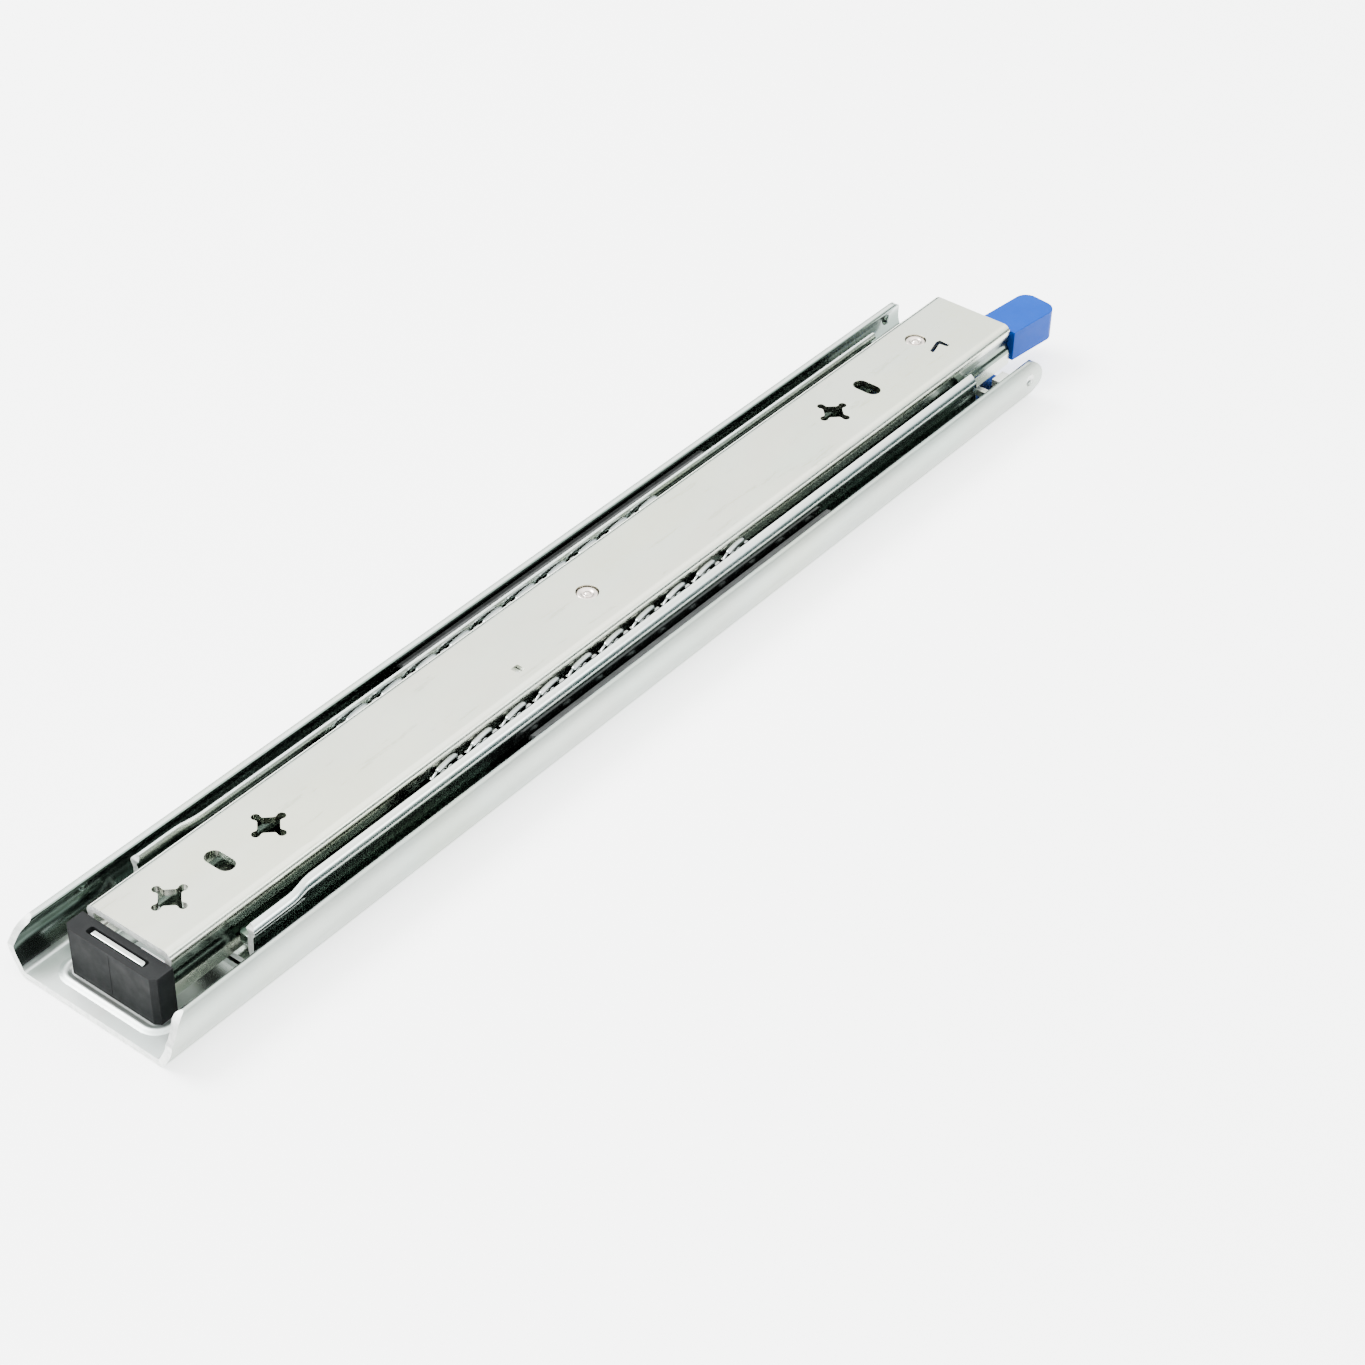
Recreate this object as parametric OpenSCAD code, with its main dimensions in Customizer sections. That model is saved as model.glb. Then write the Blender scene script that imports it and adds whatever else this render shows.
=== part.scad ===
// Heavy-duty three-section drawer slide with lock-in, lock-out and a front release lever.
// Frame: X runs along the slide with the drawer front at +X, Y runs across it,
// Z rises from the cabinet face (0) to the drawer face. The origin is the middle of the cabinet face.

/* [Slide] */
// Length of the outer rail
slide_len = 350; // [300:1:400]
// Overall width across the outer rail
slide_w = 53; // [52:0.5:54]
// Thickness from the cabinet face to the drawer face
slide_h = 19.1; // [19:0.05:19.4]
// Extension of one pair of rails, half of the full extension
stage_travel = 175; // [165:1:175]

/* [Sheet metal] */
// Sheet thickness of the outer rail
outer_t = 2; // [1.8:0.1:2]
// Sheet thickness of the middle rail
middle_t = 1.8; // [1.6:0.1:1.9]
// Sheet thickness of the inner rail
inner_t = 2; // [1.8:0.1:2.1]
// Sheet thickness of the ball cages
cage_t = 0.8; // [0.6:0.1:0.9]

/* [Ball races] */
// Diameter of the balls between the outer and middle rails
outer_ball_d = 4.8; // [4.6:0.1:4.8]
// Diameter of the balls between the middle and inner rails
inner_ball_d = 4.4; // [4.2:0.1:4.4]
// Gap between a ball and the race it runs in
race_gap = 0.1; // [0.08:0.02:0.14]
// Height of the outer ball row above the cabinet face
outer_ball_z = 9.3; // [9.1:0.1:9.5]
// Height of the inner ball row above the cabinet face
inner_ball_z = 13.2; // [13.1:0.1:13.4]
// Distance of the inner ball row from the centre line
inner_ball_y = 15.2; // [15.1:0.1:15.3]
// Balls in each row
ball_count = 10; // [6:1:10]
// Distance between neighbouring balls
ball_pitch = 12.7; // [10:0.1:12.7]

/* [Inner rail] */
// Distance of the inner rail's rear end from the outer rail's rear end
inner_setback = 13.5; // [13:0.5:15]
// Projection of the inner rail past the outer rail's front end
inner_projection = 1.5; // [0:0.5:3]
// Width across the flat of the drawer face
drawer_face_w = 22.2; // [22:0.2:22.6]
// Distance of the first cross hole from the rail's rear end
first_hole = 13; // [12:0.5:14]
// Hole grid that the rails are pierced on
hole_grid = 32; // [32:1:32]
// Arm length of a cross hole, from its centre
cross_arm = 5.4; // [4.6:0.1:5.8]
// Width of a cross hole's arms
cross_arm_w = 2; // [1.8:0.1:2.4]
// Length of a transverse slot
slot_len = 8.6; // [8:0.1:9]
// Width of a transverse slot
slot_w = 4.6; // [4.2:0.1:5]

/* [Middle rail] */
// Distance of the middle rail's rear end from the outer rail's rear end
middle_setback = 33; // [30:1:36]
// Distance of the middle rail's flange ends from the outer rail's front end
middle_front_gap = 24; // [22:1:26]
// Length of the web tongue in front of the middle rail's flanges
tongue_len = 7; // [5:1:8]
// Diameter of the screwdriver access holes
access_d = 11; // [9:0.5:12]

/* [Cabinet fixings] */
// Diameter of the round screw holes in the outer rail
screw_hole_d = 5.2; // [4.6:0.1:6.4]
// Distance of the front screw hole from the rail's front end
front_screw_x = 37; // [37:1:37]
// Length of the adjusting slots in the outer rail
adjust_slot_len = 9; // [8:0.5:10]

/* [Rear bumper] */
// Width of the rubber block
bumper_w = 29; // [26:0.5:29]
// Thickness of the rubber block along the slide
bumper_t = 6.2; // [5:0.1:6.4]
// Height of the rubber block's top above the cabinet face
bumper_top = 16; // [15:0.1:17]
// Corner chamfer of the rubber block
bumper_chamfer = 2.4; // [1.5:0.1:3]
// Width of the bent-up tab that carries the rubber block
tab_w = 17; // [14:0.5:18]
// Thickness of that tab
tab_t = 1.6; // [1.2:0.1:2]

/* [Release lever] */
// Projection of the lever past the inner rail's front end
lever_reach = 20.5; // [16:0.5:24]
// Width of the lever's finger end
lever_w = 12.4; // [11:0.2:13]
// Height of the lever's finger end
lever_h = 9.5; // [8.5:0.1:10.5]
// Angle of the lever's finger end to the slide
lever_angle = 6; // [4:0.5:7]
// Wall thickness of the lever's finger end
lever_wall = 2.2; // [1.8:0.1:2.6]
// Distance of the lever's pivot from the inner rail's front end
lever_pivot_back = 23.8; // [22:0.2:25]
// Offset of the lever's pivot towards +Y
lever_pivot_y = 3.6; // [3:0.1:4.2]

/* [Hidden] */

eps = 0.01;
round_fn = 48;
rear_x = -slide_len / 2;
front_x = slide_len / 2;

// Outer rail section
outer_bend_r = 2.2;       // centre-line radius of the web bend
outer_lean = 62;          // slope of the lower leg
outer_leg = 3.4;          // straight part of the lower leg
outer_race_r = 8.5;       // centre-line radius of the race
outer_lip_lean = 120;     // slope of the lip
outer_top = 14.4;         // height of the lip's edge

// Middle rail section
middle_web_z = 2.7;       // underside of the middle web
middle_bend_r = 1.9;
middle_lean = 104;        // slope of the flange where it leaves the web
middle_lip_end = 152;     // direction of the flange at its lip

// Inner rail section
inner_bend_r = 1.4;       // centre-line radius of the drawer face bends
inner_flare = -55;        // direction of the leg after the race, before it turns down
inner_foot_r = 2.4;
inner_foot_z = 6.3;       // lowest point of the legs

// Ends and stops
middle_rear = rear_x + middle_setback;
middle_front = front_x - middle_front_gap;
tongue_end = middle_front + tongue_len;
inner_rear = rear_x + inner_setback;
inner_front = front_x + inner_projection;
cross_1 = inner_rear + first_hole;
slot_1 = cross_1 + hole_grid / 2;
cross_2 = cross_1 + hole_grid;
cross_3 = cross_1 + 8 * hole_grid;
slot_2 = slot_1 + 8 * hole_grid;
cage_len = (ball_count - 1) * ball_pitch + 12;
outer_cage_mid = 15;
inner_cage_mid = -14.5;
stop_dimple_x = front_x - 6.5;
rear_pip_x = rear_x + 21.5;

// Ball centres: the outer row stands race_gap off the middle rail's groove
outer_ball_r = outer_ball_d / 2;
inner_ball_r = inner_ball_d / 2;
outer_inside = slide_w / 2 - outer_t;
outer_ball_y = outer_inside - outer_ball_r - race_gap - 0.25;
outer_ball_c = [outer_ball_y, outer_ball_z];
inner_ball_c = [inner_ball_y, inner_ball_z];
outer_groove_r = outer_ball_r + race_gap + middle_t / 2;
middle_race_r = inner_ball_r + race_gap + middle_t / 2;
inner_race_r = inner_ball_r + race_gap + inner_t / 2;

// Release parts
drawer_under = slide_h - inner_t;
pivot_x = inner_front - lever_pivot_back;
pivot_y = lever_pivot_y;
pawl_x = 0;
pin_r = 2.5;              // lever and pawl rivets
pin_gap = 0.06;           // running clearance on those rivets
arm_top = 15.4;
arm_t = 2.6;
arm_z = arm_top - arm_t;
hook_t = 1.5;
hook_z = arm_z - hook_t;
hook_x = inner_front - 16;
hook_foot_z = 3.4;
nose_y = outer_inside - 1.6;
pawl_t = 2;
pawl_z = arm_top - pawl_t;
square_hole_x = -35.4;
square_hole_y = -6.8;
square_hole = 2.6;
stop_t = 2.2;
catch_x = square_hole_x + stop_t / 2 + stage_travel + 0.5;
catch_len = 8.8;
catch_low_y = -4.8;
catch_top = 9.2;
pawl_hook_x = catch_x + catch_len + 0.4 - stage_travel;
pawl_hook_t = 2.4;
link_y = -8.2;
link_end_r = 2.1;
link_t = 1.2;
link_z = arm_z - 0.3 - link_t;
link_pin_r = 1.2;
link_hole_r = 1.4;
lance_x = 155;
lance_y = -5;
lance_len = 6;
lance_w = 4.8;
lance_drop = 1.3;
lever_top = 17.1;
lever_side = -14.8;
wire_d = 0.7;
spring_r = 3.6;

/* ---- Section paths ---- */
// A path is a list of steps walked from a start point: [length] goes straight on,
// [radius, turn] follows an arc of that centre-line radius through turn degrees.
function dir(h) = [cos(h), sin(h)];
function arc_centre(p, h, r, turn) = p + r * dir(h + (turn > 0 ? 90 : -90));
function arc_point(p, h, r, turn, f) =
    let (s = turn > 0 ? 1 : -1, c = arc_centre(p, h, r, turn))
    c + r * dir(h - s * 90 + turn * f);
function arc_steps(turn) = max(2, ceil(abs(turn) / 14));
function walk(steps, p, h, i = 0) =
    i == len(steps) ? [[p, h]] :
    len(steps[i]) == 1 ?
        concat([[p, h]], walk(steps, p + steps[i][0] * dir(h), h, i + 1)) :
    let (r = steps[i][0], turn = steps[i][1], n = arc_steps(turn))
        concat([for (k = [0 : n - 1]) [arc_point(p, h, r, turn, k / n), h + turn * k / n]],
               walk(steps, arc_point(p, h, r, turn, 1), h + turn, i + 1));

// Both edges of a strip of thickness t along a walked path, and its mirror image across Y = 0
function edge(path, offset) = [for (q = path) q[0] + offset * dir(q[1] + 90)];
function mirrored(points) = [for (i = [len(points) - 1 : -1 : 0]) [-points[i][0], points[i][1]]];
function reversed(points) = [for (i = [len(points) - 1 : -1 : 0]) points[i]];
function strip(path, t) =
    concat(mirrored(edge(path, -t / 2)), edge(path, -t / 2),
           reversed(edge(path, t / 2)), reversed(mirrored(edge(path, t / 2))));

// Direction of the common tangent that leaves circle a clockwise and joins circle b anticlockwise
function crossing_dir(a, ra, b, rb) =
    let (d = b - a) atan2(-d[0], d[1]) + acos((ra + rb) / norm(d));
function crossing_len(a, ra, b, rb) = sqrt(pow(norm(b - a), 2) - pow(ra + rb, 2));

// Height gained and width gained by an arc step
function arc_rise(r, h, turn) = r * (cos(h) - cos(h + turn));
function arc_run(r, h, turn) = r * (sin(h + turn) - sin(h));

outer_race_turn = outer_lip_lean - outer_lean;
outer_rise = outer_t / 2 + arc_rise(outer_bend_r, 0, outer_lean) + outer_leg * sin(outer_lean)
           + arc_rise(outer_race_r, outer_lean, outer_race_turn);
outer_lip = (outer_top - outer_rise) / sin(outer_lip_lean);
outer_run = arc_run(outer_bend_r, 0, outer_lean) + outer_leg * cos(outer_lean)
          + arc_run(outer_race_r, outer_lean, 90 - outer_lean);
outer_web_half = slide_w / 2 - outer_t / 2 - outer_run;
outer_path = walk([[outer_web_half - 1], [outer_bend_r, outer_lean], [outer_leg],
                   [outer_race_r, outer_race_turn], [outer_lip]], [1, outer_t / 2], 0);

middle_cross = crossing_dir(outer_ball_c, outer_groove_r, inner_ball_c, middle_race_r);
middle_cross_len = crossing_len(outer_ball_c, outer_groove_r, inner_ball_c, middle_race_r);
groove_start = outer_ball_c + outer_groove_r * dir(middle_lean + 90);
middle_bend_top = middle_web_z + middle_t / 2 + arc_rise(middle_bend_r, 0, middle_lean);
middle_leg = (groove_start[1] - middle_bend_top) / sin(middle_lean);
middle_web_half = groove_start[0] - middle_leg * cos(middle_lean)
                - arc_run(middle_bend_r, 0, middle_lean);
middle_path = walk([[middle_web_half - 1], [middle_bend_r, middle_lean], [middle_leg],
                    [outer_groove_r, middle_cross - middle_lean], [middle_cross_len],
                    [middle_race_r, middle_lip_end - middle_cross], [0.3]],
                   [1, middle_web_z + middle_t / 2], 0);

inner_top_c = slide_h - inner_t / 2;
inner_bend_c = [drawer_face_w / 2, inner_top_c - inner_bend_r];
inner_cross = crossing_dir(inner_bend_c, inner_bend_r, inner_ball_c, inner_race_r);
inner_cross_len = crossing_len(inner_bend_c, inner_bend_r, inner_ball_c, inner_race_r);
inner_race_end = inner_ball_c + inner_race_r * dir(inner_flare - 90);
inner_foot_top = inner_race_end[1] + arc_rise(-inner_foot_r, inner_flare, -90 - inner_flare);
inner_path = walk([[inner_bend_c[0] - 1], [inner_bend_r, inner_cross], [inner_cross_len],
                   [inner_race_r, inner_flare - inner_cross],
                   [inner_foot_r, -90 - inner_flare], [inner_foot_top - inner_foot_z]],
                  [1, inner_top_c], 0);

/* ---- Shared shapes ---- */
// Rail: a section path extruded along X from x0 to x1
module rail(path, t, x0, x1) {
    translate([x0, 0, 0]) rotate([90, 0, 90]) linear_extrude(x1 - x0) polygon(strip(path, t));
}

// Box from one corner to the opposite one
module block(low, high) {
    translate(low) cube(high - low);
}

// Upright cylinder between two heights
module post(x, y, r, z0, z1) {
    translate([x, y, z0]) cylinder(r = r, h = z1 - z0, $fn = round_fn);
}

// Copies its child onto both sides of the slide
module both_sides() {
    children();
    mirror([0, 1, 0]) children();
}

// Oblong cutter of overall length l and width w, through the height z0 to z1
module oblong(x, y, l, w, z0, z1, along_y = false) {
    translate([x, y, 0]) rotate(along_y ? 90 : 0) {
        block([-(l - w) / 2, -w / 2, z0], [(l - w) / 2, w / 2, z1]);
        for (s = [-1, 1]) post(s * (l - w) / 2, 0, w / 2, z0, z1);
    }
}

// Cross-shaped cutter: a diamond with four round-ended arms
module cross_hole(x) {
    z0 = drawer_under - 1;
    z1 = slide_h + 1;
    oblong(x, 0, 2 * cross_arm, cross_arm_w, z0, z1);
    oblong(x, 0, 2 * cross_arm, cross_arm_w, z0, z1, true);
    translate([x, 0, z0]) rotate(45) translate([-2.6, -2.6, 0]) cube([5.2, 5.2, z1 - z0]);
}

// Flat rectangle with round corners, centred on the origin
module rounded_rect(l, w, r) {
    square([l - 2 * r, w], center = true);
    square([l, w - 2 * r], center = true);
    for (sx = [-1, 1], sy = [-1, 1])
        translate([sx * (l / 2 - r), sy * (w / 2 - r)]) circle(r, $fn = round_fn);
}

// Row of balls along X
module ball_row(mid, y, z, r) {
    for (i = [0 : ball_count - 1])
        translate([mid + (i - (ball_count - 1) / 2) * ball_pitch, y, z]) sphere(r, $fn = 32);
}

// Cage strip standing on edge at the ball centres, with a round pocket for each ball
module cage(mid, y, z, ball_r, z0, z1) {
    difference() {
        block([mid - cage_len / 2, y - cage_t / 2, z0], [mid + cage_len / 2, y + cage_t / 2, z1]);
        for (i = [0 : ball_count - 1])
            translate([mid + (i - (ball_count - 1) / 2) * ball_pitch, y + cage_t, z])
                rotate([90, 0, 0]) cylinder(r = ball_r + 0.12, h = 2 * cage_t, $fn = round_fn);
    }
}

// Torsion spring: a coil around (x, y) of the given turns, as one swept wire
module torsion_spring(x, y, z, r, turns, start) {
    sides = 8;
    rings = ceil(turns * 24);
    rise = wire_d * 1.08;
    centres = [for (k = [0 : rings])
        let (a = start + 360 * turns * k / rings)
        [x + r * cos(a), y + r * sin(a), z + rise * turns * k / rings]];
    points = [for (k = [0 : rings], j = [0 : sides - 1])
        let (a = start + 360 * turns * k / rings, b = 360 * j / sides, w = wire_d / 2)
        centres[k] + [w * cos(b) * cos(a), w * cos(b) * sin(a), w * sin(b)]];
    skin = [for (k = [0 : rings - 1], j = [0 : sides - 1])
        let (a = k * sides, n = (j + 1) % sides)
        [a + j, a + n, a + sides + n, a + sides + j]];
    polyhedron(points, concat([[for (j = [sides - 1 : -1 : 0]) j]],
                              skin, [[for (j = [0 : sides - 1]) rings * sides + j]]));
}

/* ---- Outer rail and what is fixed to it ---- */
tab_x = inner_rear - 3.5;
bumper_x = inner_rear - 0.4 - bumper_t;
tab_window = 14;
bead_w = 2.4;
bead_h = 1;
bead_half = bumper_w / 2 + 0.5 + bead_w;
bead_rear = bumper_x - 0.6 - bead_w;
bead_front = tab_x + tab_window + 4;
screw_x = [front_x - front_screw_x, front_x - front_screw_x - 8 * hole_grid];
adjust_x = [front_x - front_screw_x - hole_grid, front_x - front_screw_x - 7 * hole_grid];

// U-shaped pressed bead around the bumper's foot, open towards the front
module bead(grow, z0, z1) {
    mid = (bead_rear + bead_front) / 2 + 10;
    l = bead_front - bead_rear + 20;
    intersection() {
        translate([mid, 0, z0]) linear_extrude(z1 - z0) difference() {
            rounded_rect(l + 2 * grow, 2 * bead_half + 2 * grow, 4.5 + grow);
            rounded_rect(l - 2 * bead_w - 2 * grow, 2 * (bead_half - bead_w) - 2 * grow, 2.1 - grow);
        }
        block([bead_rear - 1, -bead_half - 1, z0 - 1], [bead_front, bead_half + 1, z1 + 1]);
    }
}

// Side outline of the material trimmed off the flange tops at both ends
module flange_trim() {
    rotate([90, 0, 0]) translate([0, 0, -slide_w]) linear_extrude(2 * slide_w) {
        polygon([[rear_x - 1, outer_top - 5.3], [rear_x, outer_top - 5.3], [rear_x + 1.4, outer_top - 2],
                 [rear_x + 4.5, outer_top + 0.5], [rear_x - 1, outer_top + 1]]);
        polygon([[front_x + 1, outer_top - 2.4], [front_x, outer_top - 1.6], [front_x - 0.5, outer_top - 0.6],
                 [front_x - 1.8, outer_top + 0.5], [front_x + 1, outer_top + 1]]);
    }
}

// Dimple pressed into a flange from outside
module dimple_bump(x, y, z, r) {
    intersection() {
        translate([x, y, z]) sphere(r, $fn = 32);
        block([x - r, y - r, z - r], [x + r, slide_w / 2 - 0.2, z + r]);
    }
}

module outer_rail() {
    color("silver") difference() {
        union() {
            rail(outer_path, outer_t, rear_x, front_x);
            bead(0, outer_t - eps, outer_t + bead_h);
            block([tab_x - tab_t / 2, -tab_w / 2, outer_t / 2],
                  [tab_x + tab_t / 2, tab_w / 2, bumper_top - 0.2]);
            both_sides() {
                dimple_bump(stop_dimple_x, outer_inside + 0.9, 10, 2);
                dimple_bump(rear_pip_x, outer_inside - 0.3, 12.2, 1.6);
            }
        }
        bead(-0.7, -1, bead_h - 0.2);
        block([tab_x + tab_t / 2, -tab_w / 2 - 0.8, -1],
              [tab_x + tab_window, tab_w / 2 + 0.8, outer_t + bead_h + 1]);
        flange_trim();
        for (x = screw_x) post(x, 0, screw_hole_d / 2, -1, outer_t + 1);
        for (x = adjust_x) oblong(x, 0, adjust_slot_len, screw_hole_d, -1, outer_t + 1);
    }
}

module rear_bumper() {
    h = bumper_w / 2;
    c = bumper_chamfer;
    x1 = bumper_x + bumper_t;
    color("#2b2b2b") difference() {
        translate([0, 0, outer_t]) linear_extrude(bumper_top - outer_t)
            polygon([[bumper_x, -h + c], [bumper_x + c * 0.7, -h], [x1, -h],
                     [x1, h], [bumper_x + c * 0.7, h], [bumper_x, h - c]]);
        block([tab_x - tab_t / 2, -tab_w / 2, 0], [tab_x + tab_t / 2, tab_w / 2, bumper_top + 1]);
    }
}

module outer_cage() {
    cage(outer_cage_mid, outer_ball_y, outer_ball_z, outer_ball_r, 6.3, 12.6);
}

module outer_cage_left() {
    color("#3c3f40") outer_cage();
}

module outer_cage_right() {
    color("#3c3f40") mirror([0, 1, 0]) outer_cage();
}

module outer_balls_left() {
    color("gainsboro") ball_row(outer_cage_mid, outer_ball_y, outer_ball_z, outer_ball_r);
}

module outer_balls_right() {
    color("gainsboro") ball_row(outer_cage_mid, -outer_ball_y, outer_ball_z, outer_ball_r);
}

/* ---- Middle rail and what is fixed to it ---- */
middle_top = middle_web_z + middle_t;
catch_rivet_x = catch_x + 5.6;

module middle_rail() {
    color("silver") difference() {
        union() {
            rail(middle_path, middle_t, middle_rear, middle_front);
            block([middle_front - eps, -12, middle_web_z], [tongue_end, 12, middle_top]);
            both_sides() {
                block([middle_rear, 16, 10.4], [middle_rear + 2.4, 18.2, 12.4]);
                block([middle_front - 4, 16, 10.4], [middle_front - 1.6, 18.2, 12.4]);
                block([middle_rear, 18.6, 8.2], [middle_rear + 5.8, 22, 10.4]);
            }
        }
        for (x = screw_x) post(x - 4, 0, access_d / 2, 0, middle_top + 1);
        post(0, 0, access_d / 2, 0, middle_top + 1);
        for (y = [-0.4, 4.6]) post(catch_rivet_x, y, 1.5, 0, middle_top + 1);
    }
}

// Bent plate at the front of the middle rail: end stop and lock-out catch for the inner rail
module lockout_catch() {
    color("silver") difference() {
        union() {
            block([catch_x, catch_low_y, middle_top], [catch_x + catch_len, 6.4, middle_top + 1.5]);
            block([catch_x, catch_low_y, middle_top], [catch_x + 1.5, 6.4, catch_top]);
            block([catch_x, catch_low_y, middle_top],
                  [catch_x + catch_len, catch_low_y + 1.5, catch_top]);
        }
        for (y = [-0.4, 4.6]) post(catch_rivet_x, y, 1.5, 0, catch_top);
    }
}

module catch_rivets() {
    color("gainsboro") for (y = [-0.4, 4.6]) {
        post(catch_rivet_x, y, 1.5, middle_web_z, middle_top + 1.5);
        post(catch_rivet_x, y, 2.4, middle_top + 1.5, middle_top + 2.3);
    }
}

module inner_cage() {
    cage(inner_cage_mid, inner_ball_y, inner_ball_z, inner_ball_r, 10.7, 16.3);
}

module inner_cage_left() {
    color("lightgray") inner_cage();
}

module inner_cage_right() {
    color("lightgray") mirror([0, 1, 0]) inner_cage();
}

module inner_balls_left() {
    color("gainsboro") ball_row(inner_cage_mid, inner_ball_y, inner_ball_z, inner_ball_r);
}

module inner_balls_right() {
    color("gainsboro") ball_row(inner_cage_mid, -inner_ball_y, inner_ball_z, inner_ball_r);
}

/* ---- Inner rail and what is fixed to it ---- */
module inner_rail() {
    color("#dfe0d8") difference() {
        union() {
            difference() {
                rail(inner_path, inner_t, inner_rear, inner_front);
                block([lance_x - lance_len / 2, lance_y - lance_w / 2, drawer_under - 1],
                      [lance_x + lance_len / 2, lance_y + lance_w / 2, slide_h + 1]);
            }
            block([lance_x - lance_len / 2 + 0.8, lance_y - lance_w / 2 - eps, drawer_under - lance_drop],
                  [lance_x + lance_len / 2, lance_y + lance_w / 2 - 0.8, slide_h - lance_drop]);
            both_sides()
                block([middle_front + 0.6, 12.4, 10], [middle_front + 3.4, 16.8, 12.4]);
        }
        for (x = [cross_1, cross_2, cross_3]) cross_hole(x);
        for (x = [slot_1, slot_2])
            oblong(x, 0, slot_len, slot_w, drawer_under - 1, slide_h + 1, true);
        block([square_hole_x - square_hole / 2, square_hole_y - square_hole / 2, drawer_under - 1],
              [square_hole_x + square_hole / 2, square_hole_y + square_hole / 2, slide_h + 1]);
        post(pivot_x, pivot_y, pin_r, drawer_under - 1, slide_h + 1);
        post(pawl_x, 0, pin_r, drawer_under - 1, slide_h + 1);
    }
}

// Shouldered rivet hanging from the drawer face, flush on top
module hanging_rivet(x, y, low) {
    post(x, y, pin_r, low, slide_h);
    post(x, y, pin_r + 1.6, low - 1.2, low);
}

module lever_rivet() {
    color("gainsboro") hanging_rivet(pivot_x, pivot_y, hook_z - 0.15);
}

module pawl_rivet() {
    color("gainsboro") hanging_rivet(pawl_x, 0, pawl_z - 0.15);
}

// Block staked into the square hole: it meets the middle rail's stop at full extension
module travel_stop() {
    color("silver") {
        block([square_hole_x - stop_t / 2, -8.6, 7.2], [square_hole_x + stop_t / 2, -1.6, drawer_under]);
        block([square_hole_x - 1.1, square_hole_y - square_hole / 2, drawer_under - eps],
              [square_hole_x + 1.1, square_hole_y + square_hole / 2, slide_h - 1.2]);
    }
}

module lever_spring() {
    color("silver") torsion_spring(pivot_x, pivot_y, arm_top + 0.55, spring_r, 1, 40);
}

module pawl_spring() {
    color("silver") torsion_spring(pawl_x, 0, arm_top + 0.55, spring_r, 1, 40);
}

/* ---- Release parts ---- */
handle_x = inner_front + 0.5;
handle_len = lever_reach - 0.5;
handle_z = lever_top - lever_h;

// Points of an arc around c from direction a, turning through t
function arc_points(c, r, a, t) = [for (k = [0 : 9]) c + r * dir(a + t * k / 9)];

// Bar with round ends between two points
module bar(a, b, r, z0, z1) {
    d = b - a;
    h = atan2(d[1], d[0]);
    translate([0, 0, z0]) linear_extrude(z1 - z0)
        polygon(concat(arc_points(a, r, h + 90, 180), arc_points(b, r, h - 90, 180)));
}

// Finger end in its own frame: a shell with rounded front corners, open towards +Y
module finger_end() {
    r = 3;
    difference() {
        translate([0, 0, handle_z]) linear_extrude(lever_h)
            polygon(concat([[0, lever_w], [0, 0]], arc_points([handle_len - r, r], r, -90, 90),
                           arc_points([handle_len - r, lever_w - r], r, 0, 90)));
        block([lever_wall, lever_wall, handle_z + lever_wall],
              [handle_len - lever_wall, lever_w + 1, lever_top - lever_wall]);
    }
}

module release_lever() {
    neck = [inner_front - 2, -5.6];
    color("#2f7fe0") difference() {
        union() {
            bar([pivot_x, pivot_y], neck, 4.2, arm_z, arm_top);
            bar([pivot_x, pivot_y], [pivot_x, link_y], link_end_r, arm_z, arm_top);
            bar(neck, [handle_x + 1, -7], 3.8, arm_z, arm_top);
            post(pivot_x, pivot_y, 5, arm_z, arm_top);
            translate([handle_x, lever_side, 0]) rotate(-lever_angle) finger_end();
        }
        post(pivot_x, pivot_y, pin_r + pin_gap, 0, slide_h);
        post(pivot_x, link_y, link_hole_r, 0, slide_h);
    }
}

// Steel hook riveted in under the lever: it reaches below the inner rail's leg to the outer rail's
// flange, where its nose stands behind the stop dimple when the slide is shut
module lock_hook() {
    x1 = hook_x + 2;
    color("silver") difference() {
        union() {
            bar([pivot_x, pivot_y], [hook_x + 1, -4.5], 3.4, hook_z, arm_z);
            block([hook_x, -9, hook_foot_z], [x1, -4.5, arm_z - eps]);
            block([hook_x, 0.6 - nose_y + 1.8, hook_foot_z], [x1, -4.5, hook_foot_z + 2]);
            block([hook_x, 0.6 - nose_y + 1.8, hook_foot_z], [x1, 4.4 - nose_y, 11]);
            block([hook_x, -nose_y, 8.6], [hook_x + 5.4, 4.4 - nose_y, 11]);
        }
        post(pivot_x, pivot_y, pin_r + pin_gap, 0, slide_h);
    }
}

module link_rod() {
    color("silver") {
        bar([pawl_x, link_y], [pivot_x, link_y], 1.9, link_z, link_z + link_t);
        post(pivot_x, link_y, link_pin_r, link_z, arm_top - 0.4);
        post(pawl_x, link_y, link_pin_r, link_z, arm_top - 0.4);
    }
}

module lockout_pawl() {
    y = catch_low_y - 1.4;
    color("silver") difference() {
        union() {
            bar([pawl_x, 0], [pawl_hook_x + 2.4, -5.4], 2, pawl_z, arm_top);
            bar([pawl_x, 0], [pawl_x, link_y], link_end_r, pawl_z, arm_top);
            post(pawl_x, 0, 4.6, pawl_z, arm_top);
            block([pawl_hook_x, y - 1.1, 5.6], [pawl_hook_x + pawl_hook_t, y + 0.9, pawl_z + eps]);
        }
        post(pawl_x, 0, pin_r + pin_gap, 0, slide_h);
        post(pawl_x, link_y, link_hole_r, 0, slide_h);
    }
}

outer_rail();
rear_bumper();
outer_cage_left();
outer_cage_right();
outer_balls_left();
outer_balls_right();
middle_rail();
lockout_catch();
catch_rivets();
inner_cage_left();
inner_cage_right();
inner_balls_left();
inner_balls_right();
inner_rail();
lever_rivet();
pawl_rivet();
travel_stop();
lever_spring();
pawl_spring();
release_lever();
lock_hook();
link_rod();
lockout_pawl();
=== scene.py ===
import bmesh
import bpy
import math
from mathutils import Vector, Matrix


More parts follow.
